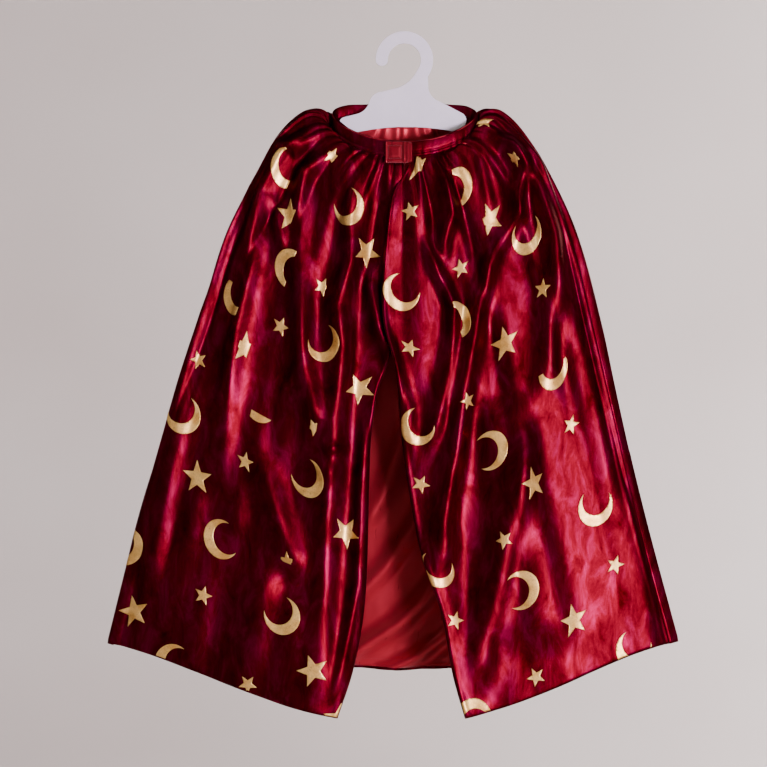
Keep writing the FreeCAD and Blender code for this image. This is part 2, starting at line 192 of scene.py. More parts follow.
# Soft folds low on the back that show through the open front.
BACK_RIDGES = [
    ([(-120, -716), (-66, -690), (-40, -672), (-6, -650), (22, -622), (50, -580), (80, -510)], 10, 15),
    ([(-70, -722), (-18, -704), (12, -690), (44, -664), (96, -610)], 8, 12),
    ([(-110, -650), (-60, -624), (-24, -588), (10, -540), (44, -470)], 10, 10),
    ([(-24, -730), (16, -716), (50, -700), (90, -670)], 7, 9),
    ([(-60, -560), (-30, -510), (0, -440), (10, -380)], 12, 6),
]


def ridge_height(x, z, points, width, height):
    """Rounded ridge along a line of points, dying out at its two ends."""
    best = np.full(x.shape, 1e9)
    along = np.zeros(x.shape)
    total = 0.0
    for (ax, az), (bx, bz) in zip(points[:-1], points[1:]):
        length = math.hypot(bx - ax, bz - az)
        t = np.clip(((x - ax) * (bx - ax) + (z - az) * (bz - az)) / length ** 2, 0, 1)
        distance = np.hypot(x - ax - t * (bx - ax), z - az - t * (bz - az))
        closer = distance < best
        along = np.where(closer, total + t * length, along)
        best = np.where(closer, distance, best)
        total += length
    fade = smooth_step(0, 45, along) * smooth_step(0, 55, total - along)
    opening = width * (0.75 + 0.5 * along / total)
    return height * fade * np.exp(-(best / opening) ** 2)


# phase in radians for each degree round the cape, from the number of folds in a quarter of it
FINE, MIDDLE, BROAD, NARROW = [2 * math.pi * folds / 90 for folds in (13, 6.3, 3.1, 4.6)]


def pleat(phase):
    """Broad rounded ridges with narrow valleys, between -1 and 1."""
    return 2 * np.sqrt(np.sin(phase / 2) ** 2 + 0.02) - 1


def roll(phase):
    """Narrow raised folds with wide flat cloth between them, between about -0.4 and 1."""
    return 1.4 * np.exp(-((1 - np.cos(phase)) / 0.55)) - 0.4


def wandering_folds(angle, share):
    """Gathers, pleats and broad folds that follow the hang of the cloth, in millimetres."""
    wander = drift(angle / 7.0, share * 3.0, 5)
    fine = pleat(FINE * (angle + 1.5 * wander) + 0.8)
    middle = pleat(MIDDLE * (angle + 2.5 * drift(angle / 11.0, share * 4.0, 9)))
    broad = pleat(BROAD * (angle + 4 * drift(angle / 17.0, share * 2.5, 12)) + 2)
    narrow = roll(NARROW * (angle + 3 * drift(angle / 13.0, share * 1.6, 27)) + 1)
    strength = 0.75 + 0.45 * drift(angle / 3.0, share * 1.0, 21)
    back = np.cos(np.radians(angle)) < 0
    fine_height = 3.8 * np.exp(-share / 0.085) * smooth_step(-0.01, 0.02, share)
    fine_height = fine_height * (0.65 + 0.5 * drift(angle / 2.3, 0.0, 33)) * np.where(back, 0.35, 1.0)
    middle_height = 5.5 * smooth_step(0.01, 0.11, share) * np.exp(-share / 0.6)
    broad_height = 4.5 * smooth_step(0.12, 0.5, share) * np.where(back, 2.2, 0.5)
    narrow_height = 3.6 * smooth_step(0.08, 0.3, share) * strength * np.where(back, 1.0, 0.5)
    narrow_height = narrow_height * (1 - 0.7 * smooth_step(0.5, 0.8, share))
    height = strength * (fine_height * fine + middle_height * middle)
    return height + broad_height * broad + narrow_height * narrow


def near_side_line(point):
    """1 on the lines where the fronts turn open, so that the cloth lies calmer there."""
    x = point[..., 0]
    down = (LINE_TOP - point[..., 2]) / (LINE_TOP - LINE_BOTTOM)
    low_half = np.where(x < 0, LINE_BOTTOM_HALF[-1], LINE_BOTTOM_HALF[1])
    line = LINE_TOP_HALF + (low_half - LINE_TOP_HALF) * down
    low = smooth_step(0, 60, -360 - point[..., 2])
    away = (np.abs(x) - line + 14 * low) / (26 + 8 * low)
    return (0.5 + 0.35 * low) * np.exp(-away ** 2) * (point[..., 1] < 0)


def fold_height(angle, share, point):
    """How far the cloth stands out of the smooth cape, in millimetres."""
    # the two ends of the circle are blended so that the folds run on across the centre back
    over = smooth_step(150, 210, np.abs(angle))
    height = (1 - over) * wandering_folds(angle, share)
    height = height + over * wandering_folds(angle - np.copysign(360, angle), share)
    calm = smooth_step(0.35, 0.6, share) * np.exp(-(point[..., 0] / 75) ** 2) * (np.abs(angle) > 90)
    free = 1 - near_side_line(point)
    height = height * (1 - 0.85 * calm) * free
    front_share = RIDGE_SCALE * free * smooth_step(0.02, 0.3, np.cos(np.radians(angle)))
    back_share = smooth_step(0.02, 0.3, -np.cos(np.radians(angle)))
    for ridge in RIDGES:
        height = height + front_share * ridge_height(point[..., 0], point[..., 2], *ridge)
    for ridge in BACK_RIDGES:
        height = height - back_share * ridge_height(point[..., 0], point[..., 2], *ridge)
    return height - FOLD_INSET * smooth_step(0.03, 0.15, share)


# folds flatten between these two depths, so that none reaches further forward than the second
FOLD_ROOM = (-48.0, -55.0)


def cape_surface(angle, share, depth, lap):
    """Folded cape: depth is how far inside the velvet's face, lap how far in front it is held."""
    inside = np.clip(share, 0, 1)
    point = base_point(angle, inside)
    normal = base_normal(angle, inside)
    height = fold_height(angle, inside, point)
    # worked out on the velvet's face, so that the lining keeps its distance behind it
    face = point[..., 1] + normal[..., 1] * height - lap
    proud = np.maximum(0.0, FOLD_ROOM[0] - face)
    room = FOLD_ROOM[0] - FOLD_ROOM[1]
    point = point + normal * (height - depth)[..., None]
    point[..., 1] += proud - room * np.tanh(proud / room) - lap
    return point * MM


def edge_angle(side, share):
    table = RIGHT_EDGE if side > 0 else LEFT_EDGE
    edge = read_off(table, 1, share)
    return np.degrees(np.arcsin(edge / half_width(edge, share)))


# ================ mesh helpers
def new_object(name, data):
    item = bpy.data.objects.new(name, data)
    bpy.context.scene.collection.objects.link(item)
    return item


def mesh_object(name, vertices, faces, material, smooth=True):
    mesh = bpy.data.meshes.new(name)
    mesh.from_pydata([tuple(v) for v in vertices], [], faces)
    mesh.validate()
    mesh.materials.append(material)
    mesh.polygons.foreach_set("use_smooth", [smooth] * len(mesh.polygons))
    return new_object(name, mesh)


@contextmanager
def edited(mesh):
    """Opens a mesh for editing and writes it back."""
    work = bmesh.new()
    work.from_mesh(mesh)
    yield work
    work.to_mesh(mesh)
    work.free()


def fix_normals(item):
    with edited(item.data) as work:
        bmesh.ops.recalc_face_normals(work, faces=work.faces)


def grid_faces(rows, columns, flip=False):
    faces = []
    for r in range(rows - 1):
        for c in range(columns - 1):
            a = r * columns + c
            quad = (a, a + columns, a + columns + 1, a + 1)
            faces.append(quad[::-1] if flip else quad)
    return faces


def tube_faces(rings, around, capped=True):
    """Faces of a tube of rings, closed at its first end and, if capped, at its last."""
    faces = []
    for start in range(0, (rings - 1) * around, around):
        for k in range(around):
            a, b = start + k, start + (k + 1) % around
            faces.append((a, b, b + around, a + around))
    faces.append(tuple(range(around))[::-1])
    if capped:
        faces.append(tuple((rings - 1) * around + k for k in range(around)))
    return faces


def thicken(item, thickness, offset=-1.0):
    solid = item.modifiers.new("thickness", "SOLIDIFY")
    solid.thickness = thickness
    solid.offset = offset
    solid.use_even_offset = False
    depsgraph = bpy.context.evaluated_depsgraph_get()
    mesh = bpy.data.meshes.new_from_object(item.evaluated_get(depsgraph))
    old = item.data
    item.modifiers.clear()
    item.data = mesh
    bpy.data.meshes.remove(old)
    return item


def finish_piece(item, body=None, bend=None, replaces=()):
    """Rides on a body, or, where a bend is given, keeps its place with its transform baked into its
    mesh.
    """
    if bend:
        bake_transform(item)
    else:
        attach(item, body)
    if replaces:
        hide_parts(*replaces)
    return item


# ================ materials
def new_material(name):
    material = bpy.data.materials.new(name)
    material.use_nodes = True
    tree = material.node_tree
    return material, tree, tree.nodes["Principled BSDF"]


def set_inputs(node, inputs):
    """Gives a node's inputs their values, or links them where the value is a socket."""
    for name, value in inputs.items():
        if isinstance(value, bpy.types.NodeSocket):
            node.id_data.links.new(value, node.inputs[name])
        else:
            node.inputs[name].default_value = value


def add(tree, kind, inputs, **settings):
    node = tree.nodes.new(kind)
    for name, value in settings.items():
        setattr(node, name, value)
    set_inputs(node, inputs)
    return node


def coordinates(tree, scale=(1.0, 1.0, 1.0)):
    place = add(tree, "ShaderNodeTexCoord", {}).outputs["Object"]
    return add(tree, "ShaderNodeMapping", {"Vector": place, "Scale": scale}).outputs["Vector"]


def noise(tree, vector, scale, detail=4.0, roughness=0.55, distortion=0.0):
    inputs = {"Vector": vector, "Scale": scale, "Detail": detail, "Roughness": roughness,
              "Distortion": distortion}
    return add(tree, "ShaderNodeTexNoise", inputs).outputs["Fac"]


def ramp(tree, factor, stops):
    node = add(tree, "ShaderNodeValToRGB", {"Fac": factor})
    elements = node.color_ramp.elements
    while len(elements) < len(stops):
        elements.new(0.5)
    for element, (position, colour) in zip(elements, stops):
        element.position = position
        element.color = (*colour, 1.0)
    return node.outputs["Color"]


def spread(tree, factor, low, high):
    """Two colours over the middle of a noise's range."""
    return ramp(tree, factor, [(0.3, low), (0.7, high)])


def multiplied(tree, first, second, amount=1.0):
    inputs = {"Factor": amount, "A": first, "B": second}
    node = add(tree, "ShaderNodeMix", inputs, data_type="RGBA", blend_type="MULTIPLY")
    return node.outputs["Result"]


def bump(tree, height, strength, distance, normal=None):
    inputs = {"Height": height, "Strength": strength, "Distance": distance}
    if normal is not None:
        inputs["Normal"] = normal
    return add(tree, "ShaderNodeBump", inputs).outputs["Normal"]


def grey(value):
    return (value, value, value)


def make_velvet():
    """Short shiny pile: dark where it is seen straight on, magenta sheen on the folds."""
    material, tree, shader = new_material("crimson_velvet")
    where = coordinates(tree)
    crushed = noise(tree, coordinates(tree, (1.0, 1.0, 0.40)), 55.0, 6.0, 0.68, 0.6)
    clouds = noise(tree, where, 9.0, 3.0, 0.5)
    pile = noise(tree, where, 2600.0, 2.0)
    streaks = noise(tree, coordinates(tree, (1.0, 1.0, 0.5)), 210.0, 4.0, 0.6)
    colour = ramp(tree, crushed, [(0.30, (0.030, 0.0004, 0.0010)), (0.50, (0.104, 0.0011, 0.0068)),
                                  (0.72, (0.215, 0.0027, 0.0370))])
    shade = spread(tree, clouds, grey(0.7), grey(1.0))
    fine = bump(tree, streaks, 0.22, 0.0006, bump(tree, pile, 0.25, 0.0004))
    set_inputs(shader, {"Base Color": multiplied(tree, colour, shade),
                        "Roughness": spread(tree, crushed, grey(0.42), grey(0.35)),
                        "Metallic": 0.88, "Specular IOR Level": 0.3,
                        "Specular Tint": (0.30, 0.02, 0.07, 1.0), "Sheen Weight": 0.06,
                        "Sheen Roughness": 0.3, "Sheen Tint": (1.0, 0.05, 0.16, 1.0),
                        "Normal": bump(tree, crushed, 0.22, 0.0016, fine)})
    return material


def make_satin(name, dark, light, rough, shine=0.5):
    """Warp-faced satin: a long soft shine across the threads."""
    material, tree, shader = new_material(name)
    weave = noise(tree, coordinates(tree, (1.0, 1.0, 0.06)), 2400.0, 2.0)
    slub = noise(tree, coordinates(tree, (1.0, 1.0, 0.12)), 160.0, 3.0)
    tone = noise(tree, coordinates(tree), 14.0, 3.0)
    fine = bump(tree, weave, 0.12, 0.0002)
    set_inputs(shader, {"Base Color": spread(tree, tone, dark, light),
                        "Roughness": spread(tree, slub, grey(rough - 0.05), grey(rough + 0.08)),
                        "Metallic": shine, "Specular IOR Level": 0.6,
                        "Specular Tint": (1.0, 0.30, 0.34, 1.0), "Anisotropic": 0.5,
                        "Sheen Weight": 0.15, "Sheen Tint": (1.0, 0.4, 0.45, 1.0),
                        "Normal": bump(tree, slub, 0.06, 0.0006, fine)})
    return material


def make_foil():
    """Gold film pressed into the pile, with hairline cracks and rubbed specks."""
    material, tree, shader = new_material("gold_foil")
    where = coordinates(tree)
    cells = add(tree, "ShaderNodeTexVoronoi", {"Scale": 420.0, "Vector": where},
                feature="DISTANCE_TO_EDGE")
    cracks = ramp(tree, cells.outputs["Distance"], [(0.0, grey(0.0)), (0.06, grey(1.0))])
    tone = noise(tree, where, 60.0, 4.0)
    specks = noise(tree, where, 520.0, 3.0, 0.7)
    gold = ramp(tree, tone, [(0.34, (0.66, 0.36, 0.07)), (0.62, (1.0, 0.68, 0.19))])
    worn = ramp(tree, specks, [(0.30, (0.16, 0.03, 0.02)), (0.36, (1.0, 1.0, 1.0))])
    rubbed = multiplied(tree, gold, worn, 0.85)
    fine = bump(tree, specks, 0.25, 0.0003)
    set_inputs(shader, {"Base Color": multiplied(tree, rubbed, cracks, 0.35),
                        "Metallic": 0.55, "Roughness": spread(tree, tone, grey(0.40), grey(0.30)),
                        "Normal": bump(tree, tone, 0.3, 0.0008, fine)})
    return material


def make_card():
    """Uncoated white card with a faint fibre."""
    material, tree, shader = new_material("white_card")
    where = coordinates(tree)
    fibre = noise(tree, where, 900.0, 4.0, 0.7)
    cloud = noise(tree, where, 35.0, 3.0)
    set_inputs(shader, {"Base Color": spread(tree, cloud, (0.84, 0.84, 0.88), (0.90, 0.90, 0.94)),
                        "Roughness": spread(tree, fibre, grey(0.48), grey(0.62)),
                        "Normal": bump(tree, fibre, 0.12, 0.0002)})
    return material


def make_cloth(name, dark, light, scale=1400.0, rough=0.85):
    """Plain woven or spun cloth, for threads, tapes, interfacing and labels."""
    material, tree, shader = new_material(name)
    where = coordinates(tree)
    weave = add(tree, "ShaderNodeTexWave", {"Scale": scale / 4, "Distortion": 1.5, "Vector": where},
                wave_type="BANDS", bands_direction="DIAGONAL")
    fuzz = noise(tree, where, scale, 3.0)
    set_inputs(shader, {"Base Color": spread(tree, fuzz, dark, light), "Roughness": rough,
                        "Sheen Weight": 0.2,
                        "Normal": bump(tree, weave.outputs["Fac"], 0.3, 0.0002)})
    return material


VELVET = make_velvet()
LINING = make_satin("brick_satin", (0.290, 0.0105, 0.0190), (0.430, 0.0185, 0.0345), 0.32, 0.42)
TAB_SATIN = make_satin("tab_satin", (0.160, 0.003, 0.009), (0.250, 0.007, 0.018), 0.30)
FOIL = make_foil()
CARD = make_card()
THREAD = make_cloth("red_thread", (0.20, 0.006, 0.012), (0.34, 0.02, 0.03), 3000.0, 0.6)
TAB_THREAD = make_cloth("tab_thread", (0.26, 0.015, 0.03), (0.42, 0.04, 0.06), 3000.0, 0.5)
TAPE = make_cloth("hook_tape", (0.14, 0.004, 0.010), (0.24, 0.010, 0.020), 1800.0)
STIFFENER = make_cloth("interfacing", (0.55, 0.53, 0.50), (0.72, 0.70, 0.67))
LABEL = make_cloth("label_satin", (0.78, 0.77, 0.74), (0.88, 0.87, 0.84), 1600.0, 0.5)

# ================ where the fronts bend open
LINE_TOP, LINE_BOTTOM = -70.0, -700.0
LINE_TOP_HALF = 70.0
LINE_BOTTOM_HALF = {-1: 288.0, 1: 255.0}
BEND_OUTSIDE, BEND_INSIDE = 7.0, 44.0
SIDES = [(-1, "front_left"), (1, "front_right")]


def bend_across(side):
    """Body, start and end of the bend, square across the side line."""
    top = Vector((side * LINE_TOP_HALF, 0, LINE_TOP))
    bottom = Vector((side * LINE_BOTTOM_HALF[side], 0, LINE_BOTTOM))
    direction = (bottom - top).normalized()
    inward = Vector((-side * abs(direction.z), 0, -abs(direction.x)))
    middle = (top + bottom) / 2
    return dict(SIDES)[side], (middle - inward * BEND_OUTSIDE) * MM, (middle + inward * BEND_INSIDE) * MM


BEND = {side: bend_across(side) for side in (-1, 1)}
SIDE_SEAM = 93.0
ROWS, FRONT_COLUMNS, BACK_COLUMNS = 250, 150, 250
# rows lie closer together at the neck
ROW_SHARE = (np.linspace(0, 1, ROWS) ** 1.15)[:, None]
VELVET_THICKNESS, LINING_THICKNESS = 1.3, 0.45
# gap between the two cloths, least along edges and most in the middle of a panel
LINING_GAP, LINING_DROP = 0.35, 1.0
# the lining stops this share of the way down to the hem
LINING_TRIM = 0.997


def lap_of(side, x, share):
    """The right front lies over the left one near the middle."""
    overlap = smooth_step(0.03, 0.10, share) * (1 - smooth_step(0.36, 0.44, share))
    near = 1 - smooth_step(8, 52, np.abs(x + 12))
    return (6.5 if side > 0 else -5.0) * overlap * near


def front_grid(side, depth):
    share = ROW_SHARE * np.ones((1, FRONT_COLUMNS))
    start = edge_angle(side, share)
    across = np.linspace(0, 1, FRONT_COLUMNS)[None, :] ** 1.25
    angle = start + (side * SIDE_SEAM - start) * across
    x = base_point(angle, share)[..., 0]
    return cape_surface(angle, share, depth(across, share), lap_of(side, x, share))


def back_grid(depth):
    share = ROW_SHARE * np.ones((1, BACK_COLUMNS))
    across = np.linspace(0, 1, BACK_COLUMNS)[None, :]
    angle = SIDE_SEAM + (360 - 2 * SIDE_SEAM) * across + 0 * share
    angle = np.where(angle > 180, angle - 360, angle)
    return cape_surface(angle, share, depth(across, share), 0.0 * share)


def velvet_depth(across, share):
    """Drawn in under the neckband, rolled in a little at the hem."""
    return 2.0 * (1 - smooth_step(0.0, 0.02, share)) + 0.8 * smooth_step(0.992, 1.0, share) + 0 * across


def front_velvet_depth(across, share):
    rolled = 1.6 * (1 - smooth_step(0.0, 0.004, across)) - 1.1 * np.exp(-((across - 0.009) / 0.006) ** 2)
    return velvet_depth(across, share) + rolled


def back_lining_depth(across, share, free=1.0):
    """The lining comes up to the velvet at the hem."""
    drop = LINING_DROP * free * (1 - smooth_step(0.975, 1.0, share))
    return VELVET_THICKNESS + LINING_GAP + velvet_depth(across, share) + drop


def front_lining_depth(across, share):
    """The lining comes up to the velvet at the front edge too."""
    return back_lining_depth(across, share, smooth_step(0.0, 0.05, across))


def cloth_piece(name, grid, material, thickness, flip, trim=1.0):
    """One cloth of a grid's rows, or of a share of them, with its thickness."""
    rows, columns, _ = grid.shape
    keep = max(2, int(round(rows * trim)))
    grid = grid[:keep]
    item = mesh_object(name, grid.reshape(-1, 3), grid_faces(keep, columns, flip), material)
    return thicken(item, thickness * MM)


GRIDS = {}


def make_panel(name, grids, flip, body=None, bend=None):
    """Velvet and lining of one panel, held gathered by the neckband."""
    velvet, lining = grids
    GRIDS[name] = velvet
    GRIDS[name + "_lining"] = lining
    outer = cloth_piece(name + "_velvet_cloth", velvet, VELVET, VELVET_THICKNESS, flip)
    finish_piece(outer, body, bend, [name + "_velvet"])
    inner = cloth_piece(name + "_lining_cloth", lining, LINING, LINING_THICKNESS, flip, LINING_TRIM)
    finish_piece(inner, body, bend, [name + "_lining"])


def make_cloth_panels():
    """The two fronts and the back, which meet at the side folds."""
    for side, name in SIDES:
        grids = front_grid(side, front_velvet_depth), front_grid(side, front_lining_depth)
        make_panel(name, grids, side < 0, bend=BEND[side])
    grids = back_grid(velvet_depth), back_grid(back_lining_depth)
    make_panel("back", grids, False, "cape_back")


# ================ neckband
def band_line(angle, rise, inset):
    """Points of the neckband, a rise above the neck seam and an inset behind its face."""
    sine = np.sin(np.radians(angle))
    cosine = np.cos(np.radians(angle))
    width = HANG[0, LEFT_HALF] - inset
    depth = mixed(HANG[0, FRONT_DEPTH] - inset, -(HANG[0, BACK_DEPTH] - inset), cosine)
    seam = NECK_SIDE + mixed(NECK_FRONT - NECK_SIDE, NECK_BACK - NECK_SIDE, cosine)
    return np.stack([width * sine, -depth, seam + rise], axis=-1) * MM


def closed_strip(name, lines, material, smooth):
    """Closed solid whose section follows the given lines round the neck."""
    grid = np.array(lines).transpose(1, 0, 2)
    faces = tube_faces(*grid.shape[:2])
    item = mesh_object(name, grid.reshape(-1, 3), faces, material, smooth)
    fix_normals(item)
    return item


def band_profile():
    """Rounded, slightly puffed section as (rise, inset) pairs."""
    middle = (BAND_TOP + BAND_BOTTOM) / 2
    half = (BAND_TOP - BAND_BOTTOM) / 2
    corners = []
    for turn in np.arange(64) * 2 * math.pi / 64:
        sine, cosine = math.sin(turn), math.cos(turn)
        rise = middle + half * math.copysign(abs(sine) ** 0.62, sine)
        inset = BAND_THICKNESS / 2 * (1 - math.copysign(abs(cosine) ** 0.75, cosine))
        groove = BAND_GROOVE_DEPTH * math.exp(-((rise - BAND_GROOVE) / 1.3) ** 2)
        inset += groove if cosine > 0 else -groove
        corners.append((rise, inset))
    return corners


def band_piece(name, first, last, node, body=None, bend=None):
    """One part of the neckband, puckered by the gathers along its lower edge."""
    angles = np.linspace(first, last, int(abs(last - first) / 0.8))
    pucker = pleat(FINE * (angles + 1.5 * drift(angles / 7.0, 0 * angles, 5)) + 0.8)
    lines = []
    for rise, inset in band_profile():
        level = (rise - BAND_BOTTOM) / (BAND_TOP - BAND_BOTTOM)
        soft = drift(angles / 9.0, level + 0 * angles, 31)
        out = 0.5 * pucker * (1 - level) ** 2 + 0.4 * soft
        side = 1.0 if inset < BAND_THICKNESS / 2 else -1.0
        lines.append(band_line(angles, rise + 0.35 * soft, inset - side * out))
    item = closed_strip(name, lines, VELVET, True)
    return finish_piece(item, body, bend, [node])


def ribbon(name, angles, section, material):
    """Flat closed strip along the neckband, whose section is low, high, outer and inner."""
    low, high, outer, inner = section
    lines = [band_line(angles, rise, inset) for rise, inset in
             ((low, outer), (high, outer), (high, inner), (low, inner))]
    return closed_strip(name, lines, material, False)


# heights above the neck seam and depths behind the band's face
STIFFENING = (6.0, 15.5, 2.2, 2.8)
EDGING = (BAND_HEIGHT - 0.5, BAND_HEIGHT + 0.3, 0.9, 2.6)
GATHERS = [(1.6, 2.2, 3.1, 3.6), (4.4, 5.0, 3.1, 3.6)]


def make_neckband():
    parts = [("back", 90.0, 270.0, "cape_back", None),
             ("front_left", -1.0, -90.0, None, BEND[-1]),
             ("front_right", 1.0, 90.0, None, BEND[1])]
    for name, first, last, body, bend in parts:
        band_piece(name + "_neckband_cloth", first, last, name + "_neckband", body, bend)
        trim = math.copysign(1.2, last - first)
        angles = np.linspace(first + trim, last - trim, 60)
        stiff = ribbon(name + "_interfacing_strip", angles, STIFFENING, STIFFENER)
        finish_piece(stiff, body, bend, [name + "_neckband_interfacing"])
        if name != "back":
            edging = ribbon(name + "_neck_edging", angles, EDGING, LINING)
            finish_piece(edging, body, bend)
        rows = [ribbon(name + "_gathers", angles, section, THREAD) for section in GATHERS]
        joined = join(rows, name + "_gathering_rows")
        finish_piece(joined, body, bend, [name + "_gathering_thread"])


def join(items, name):
    mesh = bpy.data.meshes.new(name)
    mesh.materials.append(items[0].data.materials[0])
    with edited(mesh) as work:
        for item in items:
            work.from_mesh(item.data)
    for item in items:
        bpy.data.objects.remove(item)
    return new_object(name, mesh)


# ================ gold moons and stars
ARC_POINTS = 27


def star(radius, turn):
    points = []
    for k in range(10):
        reach = radius if k % 2 == 0 else radius * 0.42
        angle = math.radians(turn + 90 + 36 * k)
        points.append((reach * math.cos(angle), reach * math.sin(angle)))
    return points


def arc(centre, radius, start, end):
    """Points along an arc whose centre is on the x axis."""
    return [(centre + radius * math.cos(angle), radius * math.sin(angle))
            for angle in np.linspace(start, end, ARC_POINTS)]


def moon(radius, turn):
    """Crescent whose horns point along the turn, 0 to the right and 90 up."""
    offset = 0.36 * radius
    bite = 0.80 * radius
    meet = math.acos((offset ** 2 + radius ** 2 - bite ** 2) / (2 * offset * radius))
    horn = math.atan2(radius * math.sin(meet), radius * math.cos(meet) - offset)
    points = arc(0.0, radius, meet, 2 * math.pi - meet)
    points += arc(offset, bite, -horn, horn - 2 * math.pi)[1:-1]
    spin = math.radians(turn)
    return [(x * math.cos(spin) - y * math.sin(spin), x * math.sin(spin) + y * math.cos(spin))
            for x, y in points]


def filled(outline, spacing=1.6):
    """Triangles over an outline with points inside it, so that it can follow the folds."""
    border = []
    for start, end in zip(outline, outline[1:] + outline[:1]):
        a, b = Vector(start), Vector(end)
        pieces = max(1, int((b - a).length / spacing))
        border += [a.lerp(b, i / pieces) for i in range(pieces)]
    xs, ys = [np.arange(min(values) + spacing / 2, max(values), spacing) for values in zip(*outline)]
    inside = [Vector((x, y)) for y in ys for x in xs]
    edges = [(k, (k + 1) % len(border)) for k in range(len(border))]
    points, _, faces, _, _, _ = delaunay_2d_cdt(border + inside, edges, [], 1, 1e-4)
    used = sorted({v for face in faces for v in face})
    place = {v: k for k, v in enumerate(used)}
    return [points[v] for v in used], [tuple(place[v] for v in face) for face in faces]


def run_length(points, axis=0):
    """Length from the first point to each point, along one axis of an array of points."""
    step = np.linalg.norm(np.diff(points, axis=axis), axis=-1)
    return np.insert(np.cumsum(step, axis=axis), 0, 0.0, axis=axis)


class ClothMap:
    """Places flat shapes on a panel's grid, along its rows and down its columns."""

    def __init__(self, grid, lift, outward):
        self.grid = grid
        down = np.gradient(grid, axis=0)
        across = np.gradient(grid, axis=1)
        normal = np.cross(down, across)
        normal /= np.linalg.norm(normal, axis=-1, keepdims=True)
        self.lifted = grid + normal * outward * lift * MM
        self.across = run_length(grid, 1)
        self.down = run_length(grid, 0)

    def nearest(self, x, z):
        """Row and column that show at (x, z)."""
        distance = np.hypot(self.grid[..., 0] - x * MM, self.grid[..., 2] - z * MM)
        return np.unravel_index(np.argmin(distance), distance.shape)

    def place(self, row, column, points, right):
        """Points in millimetres (right, up) around a row and column, or None off the cloth."""
        rows, columns, _ = self.grid.shape
        column_down = self.down[:, column]
        placed = []
        inside = []
        for x, y in points:
            target = column_down[row] - y * MM
            r = np.interp(target, column_down, np.arange(rows))
            low = min(int(r), rows - 2)
            part = r - low
            lengths = (1 - part) * self.across[low] + part * self.across[low + 1]
            aim = lengths[column] + right * x * MM
            c = np.interp(aim, lengths, np.arange(columns))
            left = min(int(c), columns - 2)
            share = c - left
            ends = (1 - share) * self.lifted[low:low + 2, left]
            ends = ends + share * self.lifted[low:low + 2, left + 1]
            placed.append((1 - part) * ends[0] + part * ends[1])
            inside.append(column_down[0] + 0.001 < target < column_down[-1] - 0.0008
                          and lengths[0] + 0.0008 < aim < lengths[-1] - 0.0002)
        return placed, inside


BIG_STAR, SMALL_STAR, MOON = 19.0, 11.2, 21.5
FOIL_THICKNESS, FOIL_LIFT = 0.18, 0.22
BACK_MARK_GAP = 54.0
# (kind, x, z, turn) as they show from the front; a moon's turn is where its horns point.
# Four more numbers are the part that shows where folds hide the rest: left, right, low, high.
FRONT_LEFT_PRINT = [
    ("moon", -136, -126, 66, -22, 13, -22, 16), ("small", -84, -112, 15, -6, 5, -12, 12),
    ("moon", -66, -171, 148), ("star", -44, -222, 51), ("star", -131, -181, 30, -20, 5, -20, 20),
    ("moon", -130, -242, 0, -22, 0, -22, 22), ("small", -93, -262, -8, -12, 5, -12, 12),
    ("moon", -192, -273, 62, -22, 10, -22, 10), ("small", -142, -307, 0),
    ("star", -182, -330, 12, -9, 6, -20, 20), ("small", -236, -345, 36), ("moon", -92, -326, 143),
    ("star", -51, -378, 42), ("moon", -254, -407, 130), ("moon", -166, -395, 80, -8, 20, -22, -12),
    ("small", -104, -422, 36, -5, 3, -12, 12), ("small", -181, -462, 4), ("star", -238, -480, 17),
    ("moon", -110, -480, 140), ("moon", -208, -549, 28), ("star", -67, -542, 44),
    ("small", -134, -574, 10, -8, 6, -2, 12), ("moon", -318, -559, 165), ("star", -309, -633, 26),
    ("small", -230, -613, 0), ("moon", -139, -635, 137), ("moon", -266, -697, 20),
    ("star", -104, -697, 33), ("small", -178, -713, -18), ("star", -73, -762, 10),
]
FRONT_RIGHT_PRINT = [
    ("star", 16, -124, 20, -6, 7, -20, 20), ("small", 91, -72, 0, -8, 6, -12, 12),
    ("moon", 59, -149, 180, 0, 22, -22, 22), ("small", 125, -115, 20, -6, 6, -12, 12),
    ("small", 6, -175, 13), ("star", 97, -184, 0, -9, 20, -20, 20), ("moon", 139, -201, 74),
    ("moon", -4, -268, 45), ("small", 65, -240, 2), ("small", 159, -264, 42),
    ("moon", 59, -299, 180, 1, 22, -22, 22), ("star", 114, -327, -4), ("small", 6, -331, 40),
    ("moon", 171, -355, 80, -22, 22, -22, 4), ("small", 72, -392, 8), ("moon", 14, -420, 45),
    ("small", 190, -419, 38), ("moon", 99, -449, 178), ("star", 147, -484, -3),
    ("small", 19, -486, 38), ("moon", 218, -512, 68), ("small", 112, -548, 8),
    ("moon", 37, -582, 60), ("small", 241, -581, 38), ("moon", 133, -606, 175),
    ("star", 194, -642, -4), ("small", 57, -642, 42), ("moon", 262, -674, 50),
    ("small", 149, -706, 10), ("moon", 84, -771, 270),
]


def clipped(outline, axis, limit, sign):
    """The part of an outline on one side of a straight crease."""
    kept = []
    for k, end in enumerate(outline):
        start = outline[k - 1]
        before = sign * (start[axis] - limit)
        after = sign * (end[axis] - limit)
        if (before > 0) != (after > 0):
            part = before / (before - after)
            kept.append(tuple(a + part * (b - a) for a, b in zip(start, end)))
        if after > 0:
            kept.append(end)
    return kept


